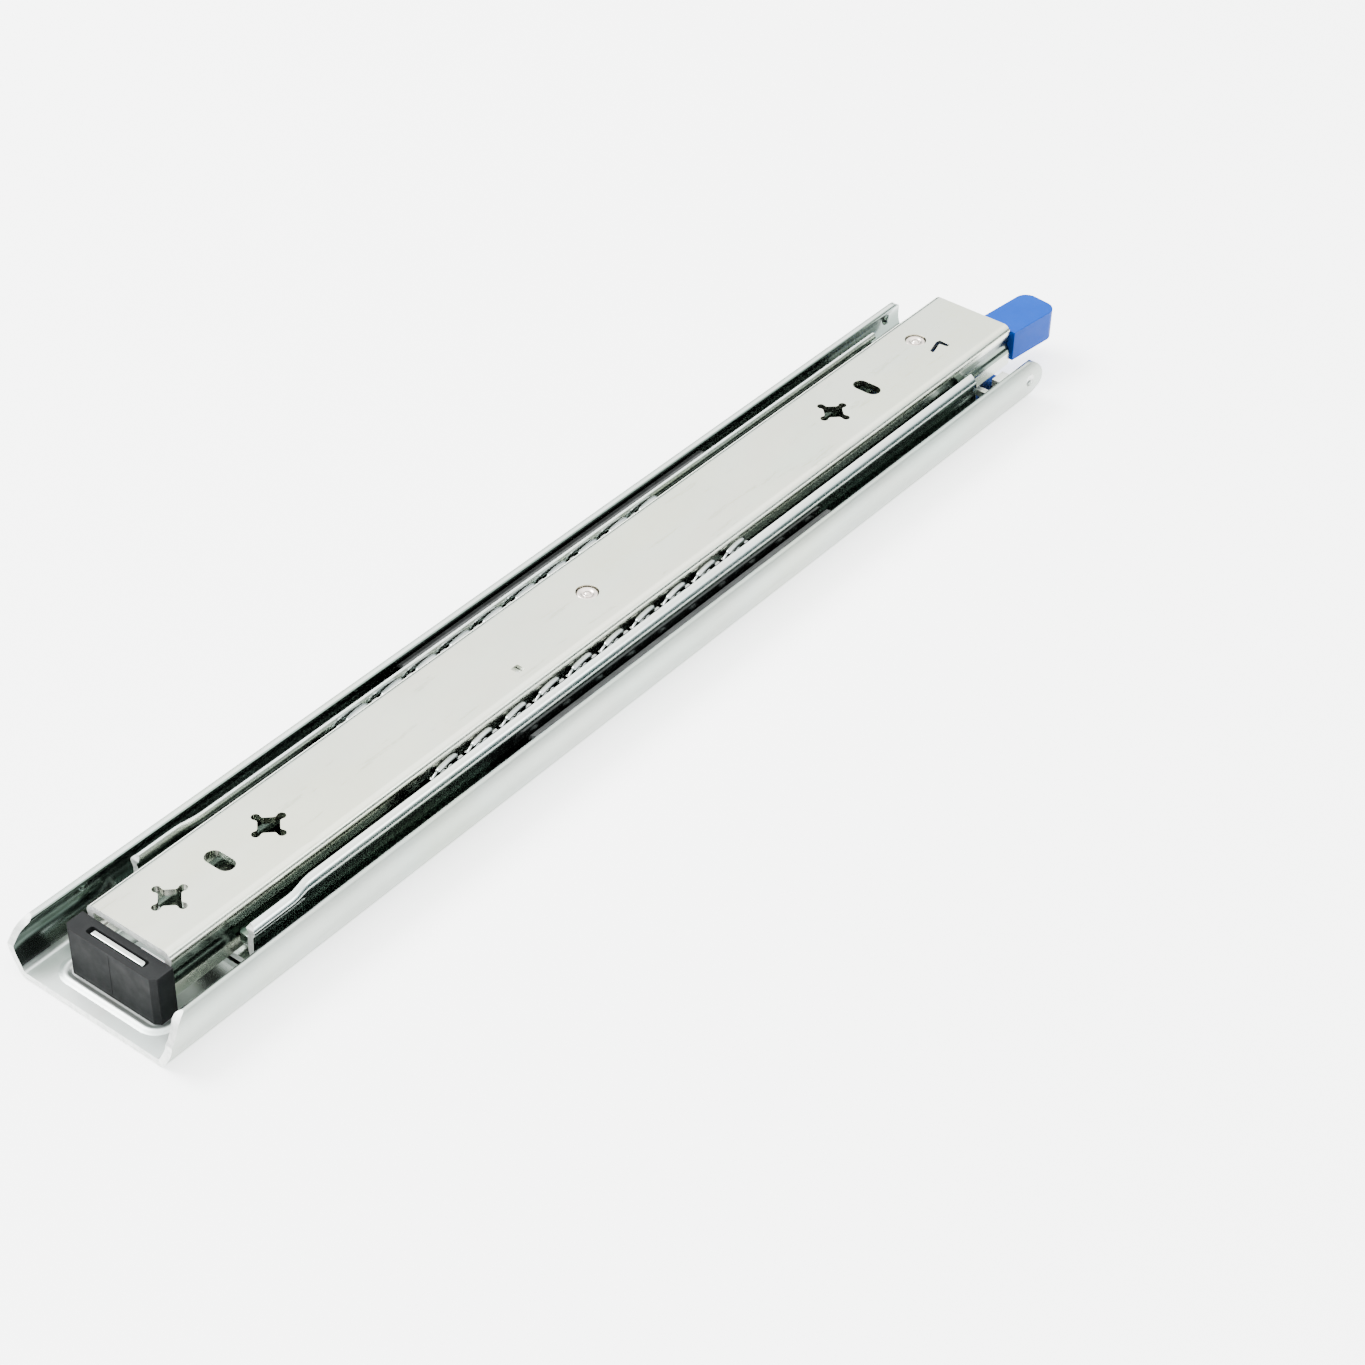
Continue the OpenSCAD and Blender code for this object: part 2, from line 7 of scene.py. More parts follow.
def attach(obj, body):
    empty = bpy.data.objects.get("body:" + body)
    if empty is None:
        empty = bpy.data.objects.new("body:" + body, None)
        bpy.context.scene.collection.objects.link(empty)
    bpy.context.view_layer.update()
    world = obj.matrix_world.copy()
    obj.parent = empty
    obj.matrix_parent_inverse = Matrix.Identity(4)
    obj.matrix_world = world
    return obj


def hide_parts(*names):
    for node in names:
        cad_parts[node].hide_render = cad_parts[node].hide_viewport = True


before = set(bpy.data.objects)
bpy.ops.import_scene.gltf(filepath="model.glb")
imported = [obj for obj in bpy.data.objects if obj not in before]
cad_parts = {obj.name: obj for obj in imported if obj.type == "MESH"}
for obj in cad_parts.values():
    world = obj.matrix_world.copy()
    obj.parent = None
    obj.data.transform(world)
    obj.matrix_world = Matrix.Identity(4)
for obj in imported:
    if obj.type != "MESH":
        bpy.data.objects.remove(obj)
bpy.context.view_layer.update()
MM = 0.001


# ---------------------------------------------------------------- camera
def look_from(pos, target, roll, lens):
    cam = bpy.data.cameras.new("camera")
    cam.lens = lens
    cam.sensor_width = 36.0
    cam.clip_start = 0.01
    cam.clip_end = 60.0
    ob = bpy.data.objects.new("camera", cam)
    bpy.context.scene.collection.objects.link(ob)
    back = (Vector(pos) - Vector(target)).normalized()
    right = Vector((0, 0, 1)).cross(back).normalized()
    up = back.cross(right)
    r2 = right * math.cos(roll) + up * math.sin(roll)
    u2 = up * math.cos(roll) - right * math.sin(roll)
    m = Matrix((r2, u2, back)).transposed().to_4x4()
    m.translation = Vector(pos)
    ob.matrix_world = m
    bpy.context.scene.camera = ob


AZ, EL, DIST = math.radians(-142.8), math.radians(38.96), 0.7874
ROLL, LENS = 0.0269, 80.7
TARGET = Vector((0.00532, -0.02739, 0.0))
AWAY = Vector((math.cos(EL) * math.cos(AZ), math.cos(EL) * math.sin(AZ), math.sin(EL)))
look_from(TARGET + AWAY * DIST, TARGET, ROLL, LENS)


# ---------------------------------------------------------------- section paths (mm)
def heading(a):
    return Vector((math.cos(math.radians(a)), math.sin(math.radians(a))))


def walk(steps, p, h, fine=6.0):
    """A path from p at heading h: (length,) goes straight, (radius, turn) follows an arc."""
    out = [(Vector(p), h)]
    for s in steps:
        p, h = out[-1]
        if len(s) == 1:
            out.append((p + s[0] * heading(h), h))
            continue
        r, turn = s
        side = 1 if turn > 0 else -1
        c = p + r * heading(h + 90 * side)
        n = max(2, math.ceil(abs(turn) / fine))
        for k in range(1, n + 1):
            a = turn * k / n
            out.append((c + r * heading(h - 90 * side + a), h + a))
    return out


def outline(path, t, r=0.45):
    """Closed outline of sheet of thickness t along the path and its mirror image, with round lips."""
    def side(off):
        return [p + off * heading(h + 90) for p, h in path]
    low, high = side(-t / 2), side(t / 2)
    p, h = path[-1]
    d, n = heading(h), heading(h + 90)
    lip = []
    for k in range(5):
        a = math.radians(90 * k / 4)
        lip.append(p - n * (t / 2 - r) - d * r + r * (d * math.sin(a) - n * math.cos(a)))
    for k in range(5):
        a = math.radians(90 * k / 4)
        lip.append(p + n * (t / 2 - r) - d * r + r * (d * math.cos(a) + n * math.sin(a)))
    half = low[:-1] + lip + high[-2::-1]
    mirror = [Vector((-q.x, q.y)) for q in reversed(half)]
    pts = half + mirror
    out = []
    for q in pts:
        if not out or (q - out[-1]).length > 1e-4:
            out.append(q)
    return out


def rise(r, h, turn):
    """Rise over an arc of radius r that starts at heading h."""
    return r * (math.cos(math.radians(h)) - math.cos(math.radians(h + turn)))


def run(r, h, turn):
    """Run over an arc of radius r that starts at heading h."""
    return r * (math.sin(math.radians(h + turn)) - math.sin(math.radians(h)))


def crossing(a, ra, b, rb):
    """Heading and length of the straight that leaves one arc and joins the other, curling the other way."""
    d = b - a
    ang = math.degrees(math.atan2(-d.x, d.y) + math.acos((ra + rb) / d.length))
    return ang, math.sqrt(d.length ** 2 - (ra + rb) ** 2)


REAR, FRONT = -175.0, 175.0
OUT_T, MID_T, INN_T = 2.0, 1.8, 2.0
OUTER_BALL, INNER_BALL = Vector((21.75, 9.3)), Vector((15.2, 13.2))
OUTER_R, INNER_R = 2.4, 2.2
MIDDLE_REAR, MIDDLE_FRONT = -142.0, 151.0
INNER_REAR, INNER_FRONT = -161.5, 176.5
PIVOT = (152.7, 3.6)                # lever's pivot
FLANGE, FLANGE_R = (17.0, 9.16), 8.5  # centre and middle radius of the outer rail's curved flange

up = 1 + rise(2.2, 0, 62) + 3.4 * math.sin(math.radians(62)) + rise(8.5, 62, 58)
across = run(2.2, 0, 62) + 3.4 * math.cos(math.radians(62)) + run(8.5, 62, 28)
outer_path = walk([(25.5 - across - 1,), (2.2, 62), (3.4,), (8.5, 58),
                   ((14.4 - up) / math.sin(math.radians(120)),)], (1, 1), 0)
groove_r, race_r, drawer_r = OUTER_R + 0.1 + 0.9, INNER_R + 0.1 + 0.9, INNER_R + 0.1 + 1
m_dir, m_len = crossing(OUTER_BALL, groove_r, INNER_BALL, race_r)
start = OUTER_BALL + groove_r * heading(194)
leg = (start.y - (2.7 + 0.9 + rise(1.9, 0, 104))) / math.sin(math.radians(104))
web = start.x - leg * math.cos(math.radians(104)) - run(1.9, 0, 104)
middle_path = walk([(web - 1,), (1.9, 104), (leg,), (groove_r, m_dir - 104), (m_len,),
                    (race_r, 152 - m_dir), (0.3,)], (1, 3.6), 0)
bend = Vector((11.1, 18.1 - 1.4))
i_dir, i_len = crossing(bend, 1.4, INNER_BALL, drawer_r)
race_end = INNER_BALL + drawer_r * heading(-145)
foot = race_end.y + rise(-2.4, -55, -35)
inner_path = walk([(10.1,), (1.4, i_dir), (i_len,), (drawer_r, -55 - i_dir), (2.4, -35),
                   (foot - 6.3,)], (1, 18.1), 0)


# ---------------------------------------------------------------- mesh tools
def new_object(name, bm):
    bmesh.ops.recalc_face_normals(bm, faces=bm.faces)
    me = bpy.data.meshes.new(name)
    bm.to_mesh(me)
    bm.free()
    me.transform(Matrix.Scale(MM, 4))
    ob = bpy.data.objects.new(name, me)
    bpy.context.scene.collection.objects.link(ob)
    return ob


def add_loops(bm, loops, closed=True, caps=True):
    """Skins a list of rings, each a list of 3-D points."""
    rings = [[bm.verts.new(p) for p in ring] for ring in loops]
    n = len(rings[0])
    for a, b in zip(rings, rings[1:]):
        for i in range(n if closed else n - 1):
            j = (i + 1) % n
            bm.faces.new((a[i], a[j], b[j], b[i]))
    if caps:
        bm.faces.new(list(reversed(rings[0])))
        bm.faces.new(rings[-1])
    return rings


def add_prism(bm, pts, lo, hi, axis="z"):
    def at(p, w):
        if axis == "z":
            return (p[0], p[1], w)
        if axis == "y":
            return (p[0], w, p[1])
        return (w, p[0], p[1])
    return add_loops(bm, [[at(p, lo) for p in pts], [at(p, hi) for p in pts]])


def arc(c, r, a, t, n=8):
    return [(c[0] + r * math.cos(math.radians(a + t * k / n)),
             c[1] + r * math.sin(math.radians(a + t * k / n))) for k in range(n + 1)]


def round_box(l0, w0, l1, w1, r, n=6):
    return (arc((l1 - r, w0 + r), r, -90, 90, n) + arc((l1 - r, w1 - r), r, 0, 90, n)
            + arc((l0 + r, w1 - r), r, 90, 90, n) + arc((l0 + r, w0 + r), r, 180, 90, n))


def stadium(x, y, length, width, along_y=False):
    h, r = (length - width) / 2, width / 2
    if along_y:
        return arc((x, y + h), r, 0, 180, 12) + arc((x, y - h), r, 180, 180, 12)
    return arc((x + h, y), r, -90, 180, 12) + arc((x - h, y), r, 90, 180, 12)


def tube(bm, pts, w, h, side=Vector((0, 1, 0)), n=10, power=2.6):
    """Sweeps a soft-cornered bar of width w (along side) and height h along points."""
    rings = []
    for i, p in enumerate(pts):
        a = Vector(pts[max(i - 1, 0)])
        b = Vector(pts[min(i + 1, len(pts) - 1)])
        t = (b - a).normalized()
        s = (side - side.dot(t) * t).normalized()
        u = t.cross(s)
        taper = 0.55 if i in (0, len(pts) - 1) else 1.0
        ring = []
        for k in range(n):
            q = 2 * math.pi * k / n
            cx, cy = math.cos(q), math.sin(q)
            ex = math.copysign(abs(cx) ** (2 / power), cx) * w / 2 * taper
            ey = math.copysign(abs(cy) ** (2 / power), cy) * h / 2 * taper
            ring.append(Vector(p) + s * ex + u * ey)
        rings.append(ring)
    add_loops(bm, rings)


def lathe(bm, c, profile, n=40):
    rings = []
    for r, z in profile:
        rings.append([(c[0] + r * math.cos(2 * math.pi * k / n),
                       c[1] + r * math.sin(2 * math.pi * k / n), c[2] + z) for k in range(n)])
    add_loops(bm, rings)


def ball(bm, c, r, n=20):
    rings = [[Vector(c) + r * Vector((math.cos(a) * math.cos(2 * math.pi * k / n),
                                      math.cos(a) * math.sin(2 * math.pi * k / n), math.sin(a)))
              for k in range(n)]
             for a in [math.pi * (j / 12 - 0.5) for j in range(1, 12)]]
    add_loops(bm, rings)


def dome(bm, c, r, side, n=24):
    """Half ball that bulges along side * Y."""
    rings = []
    for j in range(8):
        a = math.radians(j * 12)
        rings.append([(c[0] + r * math.cos(a) * math.cos(2 * math.pi * k / n), c[1] + side * r * math.sin(a) * 0.8,
                       c[2] + r * math.cos(a) * math.sin(2 * math.pi * k / n)) for k in range(n)])
    add_loops(bm, rings)


def applied(ob):
    """Bakes the object's modifiers into its mesh."""
    dg = bpy.context.evaluated_depsgraph_get()
    me = bpy.data.meshes.new_from_object(ob.evaluated_get(dg))
    ob.modifiers.clear()
    ob.data = me


def shade_smooth(ob, sharp=None):
    for f in ob.data.polygons:
        f.use_smooth = True
    if sharp:
        ob.data.set_sharp_from_angle(angle=math.radians(sharp))


def finish_metal(ob, cutter=None, bevel=0.25, seg=2, angle=38, smooth=38):
    """Cuts, bevels the edges sharper than angle and shades smooth, but for edges sharper than smooth."""
    if cutter is not None:
        m = ob.modifiers.new("cut", "BOOLEAN")
        m.object = cutter
        m.operation = "DIFFERENCE"
        m.solver = "EXACT"
        m.use_self = True
        applied(ob)
        bpy.data.objects.remove(cutter)
        bm = bmesh.new()
        bm.from_mesh(ob.data)
        bmesh.ops.remove_doubles(bm, verts=bm.verts, dist=1e-6)
        bmesh.ops.dissolve_degenerate(bm, edges=bm.edges, dist=1e-6)
        bm.to_mesh(ob.data)
        bm.free()
    if bevel:
        m = ob.modifiers.new("edge", "BEVEL")
        m.width = bevel * MM
        m.segments = seg
        m.limit_method = "ANGLE"
        m.angle_limit = math.radians(angle)
        m.use_clamp_overlap = True
        applied(ob)
    shade_smooth(ob, smooth)
    m = ob.modifiers.new("normals", "WEIGHTED_NORMAL")
    m.keep_sharp = True
    m.weight = 60
    applied(ob)


def piece(ob, body, mat, slot, *nodes):
    ob.data.materials.clear()
    ob.data.materials.append(mat)
    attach(ob, body)
    if nodes:
        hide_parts(*nodes)


def cut_ends(ob, mat, lo, hi):
    """Gives the sheared ends, outside lo to hi along X, the cut-edge material."""
    ob.data.materials.append(mat)
    for f in ob.data.polygons:
        if abs(f.normal.x) > 0.45 and not lo * MM < f.center.x < hi * MM:
            f.material_index = 1


# ---------------------------------------------------------------- materials
def set_stops(ramp, stops):
    e = ramp.color_ramp.elements
    while len(e) < len(stops):
        e.new(0.5)
    for el, (pos, col) in zip(e, stops):
        el.position = pos
        el.color = (*col, 1)


class Nodes:
    def __init__(self, name):
        self.mat = bpy.data.materials.new(name)
        self.mat.use_nodes = True
        self.t = self.mat.node_tree
        self.bsdf = next(n for n in self.t.nodes if n.type == "BSDF_PRINCIPLED")
        self.co = self.t.nodes.new("ShaderNodeTexCoord").outputs["Object"]

    def link(self, a, b):
        self.t.links.new(a, b)

    def axes(self):
        """X, Y and Z of the object's own coordinates."""
        sep = self.t.nodes.new("ShaderNodeSeparateXYZ")
        self.link(self.co, sep.inputs[0])
        return sep.outputs

    def away(self, y, z, centre):
        """Distance, in the section, from a centre in mm."""
        dy = self.math("POWER", self.math("SUBTRACT", y, centre[0] * MM), 2)
        dz = self.math("POWER", self.math("SUBTRACT", z, centre[1] * MM), 2)
        return self.math("SQRT", self.math("ADD", dy, dz), 0)

    def noise(self, scale, detail=3.0, stretch=None, rough=0.5, offset=(0, 0, 0)):
        src = self.co
        if stretch or any(offset):
            m = self.t.nodes.new("ShaderNodeMapping")
            m.inputs["Scale"].default_value = stretch or (1, 1, 1)
            m.inputs["Location"].default_value = offset
            self.link(src, m.inputs["Vector"])
            src = m.outputs[0]
        n = self.t.nodes.new("ShaderNodeTexNoise")
        n.inputs["Scale"].default_value = scale
        n.inputs["Detail"].default_value = detail
        n.inputs["Roughness"].default_value = rough
        self.link(src, n.inputs["Vector"])
        return n.outputs["Fac"]

    def ramp(self, fac, stops):
        r = self.t.nodes.new("ShaderNodeValToRGB")
        set_stops(r, stops)
        self.link(fac, r.inputs["Fac"])
        return r.outputs["Color"]

    def spread(self, fac, lo, hi, to_lo, to_hi):
        m = self.t.nodes.new("ShaderNodeMapRange")
        for k, v in zip(("From Min", "From Max", "To Min", "To Max"), (lo, hi, to_lo, to_hi)):
            m.inputs[k].default_value = v
        self.link(fac, m.inputs["Value"])
        return m.outputs[0]

    def mix(self, a, b, fac, blend="MIX"):
        m = self.t.nodes.new("ShaderNodeMix")
        m.data_type = "RGBA"
        m.blend_type = blend
        for sock, v in ((m.inputs[6], a), (m.inputs[7], b)):
            if isinstance(v, tuple):
                sock.default_value = (*v, 1)
            else:
                self.link(v, sock)
        if isinstance(fac, float):
            m.inputs[0].default_value = fac
        else:
            self.link(fac, m.inputs[0])
        return m.outputs[2]

    def math(self, op, a, b):
        m = self.t.nodes.new("ShaderNodeMath")
        m.operation = op
        for sock, v in zip(m.inputs, (a, b)):
            if isinstance(v, (int, float)):
                sock.default_value = v
            else:
                self.link(v, sock)
        return m.outputs[0]

    def bump(self, height, strength, distance):
        b = self.t.nodes.new("ShaderNodeBump")
        b.inputs["Strength"].default_value = strength
        b.inputs["Distance"].default_value = distance
        self.link(height, b.inputs["Height"])
        self.link(b.outputs[0], self.bsdf.inputs["Normal"])

    def set(self, **kw):
        for k, v in kw.items():
            self.bsdf.inputs[k.replace("_", " ")].default_value = v


def painted_shade_mask(n, races, low, web):
    """Painted shade mask: 1 on the ball side of each race, less on a flat web, and 0 elsewhere.

    The darkening it drives is painted shade and painted dark reflection on the races and flat webs. races are (y, z,
    radius), low is the height where they start, and web is (half width, height, lowest x, highest x), all in mm.
    """
    x, y, z = n.axes()
    y = n.math("ABSOLUTE", y, 0)
    total = None
    for cy, cz, inside in races:
        m = n.spread(n.away(y, z, (cy, cz)), inside * MM, (inside - 0.35) * MM, 0, 1)
        total = m if total is None else n.math("MAXIMUM", total, m)
    above = n.spread(z, low * MM, (low + 1.2) * MM, 0, 1)
    patchy = n.spread(n.noise(60, 2, stretch=(0.12, 1, 1)), 0.3, 0.6, 0.86, 1.0)
    shade_paint = n.math("MULTIPLY", n.math("MULTIPLY", total, above), patchy)
    if web:
        half, top, x0, x1 = web
        flat = n.spread(y, half * MM, (half - 1.5) * MM, 0, 0.75)
        for src, lo, hi in ((z, top + 0.6, top), (x, x0, x0 + 5), (x, x1, x1 - 5)):
            flat = n.math("MULTIPLY", flat, n.spread(src, lo * MM, hi * MM, 0, 1))
        shade_paint = n.math("MAXIMUM", shade_paint, flat)
    return shade_paint


def shell_mask(n):
    """1 on the outer rail's outside skin, which is rougher satin and, as painted shade, darker in colour."""
    _, y, z = n.axes()
    y = n.math("ABSOLUTE", y, 0)
    far = n.spread(n.away(y, z, FLANGE), (FLANGE_R + 0.25) * MM, (FLANGE_R + 0.65) * MM, 0, 1)
    return n.math("MULTIPLY", far, n.spread(y, 20.5 * MM, 21.5 * MM, 0, 1))


def zinc(name, light, dark, rough, grain, scuffs, races, tint=0.9, web=None, shell=False):
    """Zinc-plated sheet: cloudy colour, faint scuffs, rolling grain, races and webs darkened with painted shade, and
    a satin outside, darkened with painted shade, if shell.
    """
    n = Nodes(name)
    cloud = n.noise(38, 4, offset=(0.3, 0.7, 0))
    sheen = n.noise(16, 2, stretch=(1, 2.2, 1), offset=(0.11, 0.5, 0.2))
    mottle = n.noise(520, 3)
    col = n.ramp(cloud, [(0.3, dark), (0.7, light)])
    hue = n.ramp(sheen, [(0.36, (1.0, 0.985, 0.93)), (0.46, (1, 1, 1)), (0.56, (1.0, 0.965, 0.95)),
                        (0.66, (0.96, 1.0, 0.985))])
    col = n.mix(col, hue, 0.8, "MULTIPLY")
    speck = n.ramp(mottle, [(0.34, (0.88, 0.88, 0.87)), (0.5, (1, 1, 1))])
    col = n.mix(col, speck, 0.2, "MULTIPLY")
    scuff = n.noise(46, 6, stretch=(0.7, 5.5, 5.5), rough=0.72, offset=(2.1, 0, 0))
    marks = n.ramp(scuff, [(0.60, (1, 1, 1)), (0.64, (0.78, 0.79, 0.78)), (0.68, (0.97, 0.97, 0.97))])
    col = n.mix(col, marks, scuffs, "MULTIPLY")
    # painted shade: tint scales the painted shade on races and webs, and the mix below darkens the colour there to
    # dark green-grey
    shade_paint = n.math("MULTIPLY", painted_shade_mask(n, races, 3.0, web), tint)
    col = n.mix(col, (0.085, 0.125, 0.105), shade_paint)
    satin_and_shade = shell_mask(n) if shell else None
    if shell:
        # painted shade: the outside skin's colour is multiplied down to about 0.7 so it reads greyer than the bright
        # floor; its roughness is raised below
        col = n.mix(col, n.mix(col, (0.70, 0.715, 0.68), 1.0, "MULTIPLY"), satin_and_shade)
    n.link(col, n.bsdf.inputs["Base Color"])
    r = n.spread(n.noise(120, 5, stretch=(0.25, 1, 1)), 0.3, 0.7, rough[0], rough[1])
    r = n.math("MULTIPLY", r, n.spread(shade_paint, 0, 1, 1, 0.8))
    if shell:
        x, _, z = n.axes()
        end = n.math("MULTIPLY", n.spread(x, -150 * MM, -158 * MM, 0, 1), n.spread(z, 3.6 * MM, 3 * MM, 0, 1))
        r = n.math("ADD", r, n.math("MULTIPLY", n.math("MAXIMUM", satin_and_shade, end), 0.22))
    n.link(r, n.bsdf.inputs["Roughness"])
    n.set(Metallic=1.0)
    wave = n.noise(70, 2, stretch=(0.35, 1, 1))
    roll = n.noise(1100, 3, stretch=(0.05, 1, 1))
    n.bump(n.math("ADD", wave, n.math("MULTIPLY", roll, 0.05)), grain, 0.00006)
    return n.mat


def plain(name, lo, hi, scale, rough, metallic=0.0, bump=0.1, distance=0.00005, **extra):
    n = Nodes(name)
    n.link(n.ramp(n.noise(scale, 4), [(0.32, lo), (0.68, hi)]), n.bsdf.inputs["Base Color"])
    n.link(n.spread(n.noise(scale * 2.3, 3), 0.3, 0.7, rough[0], rough[1]), n.bsdf.inputs["Roughness"])
    n.set(Metallic=metallic, **extra)
    n.bump(n.noise(scale * 9, 3), bump, distance)
    return n.mat


outer_steel = zinc("outer_zinc", (0.60, 0.64, 0.63), (0.54, 0.59, 0.575), (0.18, 0.26), 0.14, 0.35,
                   [(*FLANGE, FLANGE_R - 0.05)], 0.88, (21.5, 2.6, -166, 176), True)
middle_steel = zinc("middle_zinc", (0.66, 0.70, 0.69), (0.60, 0.645, 0.63), (0.14, 0.2), 0.12, 0.25,
                    [(*OUTER_BALL, 3.4), (*INNER_BALL, 3.2)], web=(17.5, 5.0, -146, 153))
drawer_steel = zinc("drawer_zinc", (0.655, 0.68, 0.60), (0.615, 0.64, 0.57), (0.18, 0.28), 0.14, 0.9,
                    [(*INNER_BALL, 3.3)], web=(10.5, 17.15, -165, 180))
cage_steel = plain("cage_zinc", (0.30, 0.325, 0.325), (0.42, 0.44, 0.44), 240, (0.1, 0.18), 1.0)
dark_steel = plain("dark_cage", (0.018, 0.02, 0.02), (0.034, 0.036, 0.037), 260, (0.34, 0.46), 0.5)
# painted shade: the outer balls' steel is nearly black, standing for the shade inside the outer cage
ball_in_painted_shade = plain("ball_in_painted_shade", (0.035, 0.037, 0.038), (0.06, 0.062, 0.063), 300, (0.3, 0.4), 1.0, 0.02)
cut_steel = plain("cut_edge", (0.60, 0.62, 0.60), (0.86, 0.87, 0.84), 900, (0.42, 0.55), 0.5, 0.3)
ball_steel = plain("ball_steel", (0.56, 0.57, 0.58), (0.66, 0.67, 0.68), 300, (0.05, 0.1), 1.0, 0.02)
rivet_steel = plain("rivet_steel", (0.60, 0.53, 0.49), (0.72, 0.645, 0.60), 700, (0.2, 0.34), 1.0, 0.2)
lock_steel = plain("lock_steel", (0.6, 0.62, 0.6), (0.76, 0.78, 0.76), 240, (0.22, 0.36), 1.0)
wire_steel = plain("spring_wire", (0.5, 0.51, 0.52), (0.68, 0.69, 0.7), 500, (0.2, 0.32), 1.0)


def rubber_material():
    n = Nodes("bumper_rubber")
    base = n.ramp(n.noise(140, 4), [(0.3, (0.008, 0.0085, 0.009)), (0.7, (0.011, 0.012, 0.0125))])
    dust = n.ramp(n.noise(1800, 4, rough=0.8), [(0.62, (0, 0, 0)), (0.8, (1, 1, 1))])
    n.link(n.mix(base, (0.04, 0.04, 0.04), n.math("MULTIPLY", dust, 0.3)), n.bsdf.inputs["Base Color"])
    n.set(Specular_IOR_Level=0.1)
    n.link(n.spread(n.noise(300, 4), 0.3, 0.7, 0.58, 0.72), n.bsdf.inputs["Roughness"])
    n.bump(n.noise(3600, 3), 0.2, 0.00005)
    return n.mat


def blue_material():
    n = Nodes("lever_nylon")
    base = n.ramp(n.noise(60, 3), [(0.3, (0.0, 0.038, 0.26)), (0.7, (0.0, 0.044, 0.29))])
    n.link(base, n.bsdf.inputs["Base Color"])
    n.link(n.spread(n.noise(420, 4), 0.3, 0.7, 0.3, 0.44), n.bsdf.inputs["Roughness"])
    n.set(Specular_IOR_Level=0.05)
    n.bump(n.noise(2400, 3), 0.12, 0.00006)
    return n.mat


rubber, blue = rubber_material(), blue_material()


# ---------------------------------------------------------------- outer rail
def swept_bead(bm, path, width, height, z):
    """Half-round ridge along a flat path."""
    n = 14
    rings = []
    for i, p in enumerate(path):
        a = Vector(path[max(i - 1, 0)])
        b = Vector(path[min(i + 1, len(path) - 1)])
        t = (b - a).normalized()
        s = Vector((-t.y, t.x))
        ring = []
        for k in range(n + 1):
            f = k / n
            off = (f - 0.5) * width
            lift = height * 0.5 * (1 - math.cos(2 * math.pi * f))
            ring.append((p[0] + s.x * off, p[1] + s.y * off, z + lift))
        ring.append((p[0] + s.x * width / 2, p[1] + s.y * width / 2, z - 0.6))
        ring.append((p[0] - s.x * width / 2, p[1] - s.y * width / 2, z - 0.6))
        rings.append(ring)
    add_loops(bm, rings)


def make_outer():
    pts = [Vector((q.x * 0.9985, q.y)) for q in outline(outer_path, OUT_T, 0.7)]
    bm = bmesh.new()
    xs = [REAR, REAR + 6, -120, -60, 0, 60, 120, FRONT - 6, FRONT]
    add_loops(bm, [[(x, q.x, q.y) for q in pts] for x in xs])
    ob = new_object("outer_rail_steel", bm)
    cut = bmesh.new()
    for x in (138, -118):
        add_prism(cut, arc((x, 0), 2.6, 0, 345, 23), -1, 3)
    for x in (106, -86):
        add_prism(cut, stadium(x, 0, 9, 5.2), -1, 3)
    add_prism(cut, round_box(-164.2, -9.3, -151, 9.3, 1.2), -1, 4)
    rear = [(-177, 6.6), (-175.4, 8.0), (-174.0, 9.7), (-172.9, 11.4), (-171.6, 12.9), (-170.2, 13.9),
            (-169.0, 14.6), (-169.0, 17), (-177, 17)]
    front = [(177, 9.2)] + arc((169.9, 9.3), 5.12, 0, 90, 12) + [(169.9, 17), (177, 17)]
    for pts2 in (rear, front):
        add_prism(cut, pts2, 18, 30, "y")
        add_prism(cut, pts2, -30, -18, "y")
    for s in (-1, 1):
        ball(cut, (168.5, s * 27.6, 10), 2.3)
    finish_metal(ob, new_object("cut_outer", cut), 0.3, 3)
    bm = bmesh.new()
    for s in (-1, 1):
        dome(bm, (168.5, s * 25.1, 10), 2.0, -s)
        dome(bm, (-153.5, s * 24.4, 12.2), 1.7, -s)
    path = [(-148 - k * 2.4, 16.2) for k in range(8)] + arc((-165.9, 12.0), 4.2, 90, 90, 12)
    full = path + [(x, -y) for x, y in reversed(path)]
    swept_bead(bm, full, 3.4, 0.65, 1.98)
    extra = new_object("outer_rail_pressings", bm)
    shade_smooth(extra)
    tab = bmesh.new()
    add_prism(tab, round_box(-8.5, 0.6, 8.5, 15.75, 0.8), -165.8, -164.2, "x")
    tab_ob = new_object("bumper_tab", tab)
    finish_metal(tab_ob, None, 0.3, 3)
    piece(ob, "outer", outer_steel, "zinc_steel", "outer_rail")
    cut_ends(ob, cut_steel, REAR + 7, FRONT - 6)
    piece(extra, "outer", outer_steel, "zinc_steel", "outer_rail")
    piece(tab_ob, "outer", outer_steel, "zinc_steel", "outer_rail")


def make_bumper():
    h, x0, x1 = 14.5, -168.05, -161.95
    c = 1.5
    shape = [(x0, -h + c), (x0 + 1.1, -h), (x1, -h), (x1, h), (x0 + 1.1, h), (x0, h - c)]
    bm = bmesh.new()
    add_prism(bm, shape, 2.0, 16.0)
    ob = new_object("bumper_block", bm)
    cut = bmesh.new()
    add_prism(cut, round_box(-166.25, -9.3, -163.95, 9.3, 0.7), 8, 18)
    seam = [(x0 - 1, -0.14), (x0 + 0.09, -0.14), (x0 + 0.09, 0.14), (x0 - 1, 0.14)]
    add_prism(cut, seam, 3, 15.2)
    finish_metal(ob, new_object("cut_bumper", cut), 0.55, 3, 30)
    piece(ob, "outer", rubber, "rubber", "rear_bumper")


# ---------------------------------------------------------------- middle rail
def ease(t):
    t = min(1.0, max(0.0, t))
    return t * t * (3 - 2 * t)


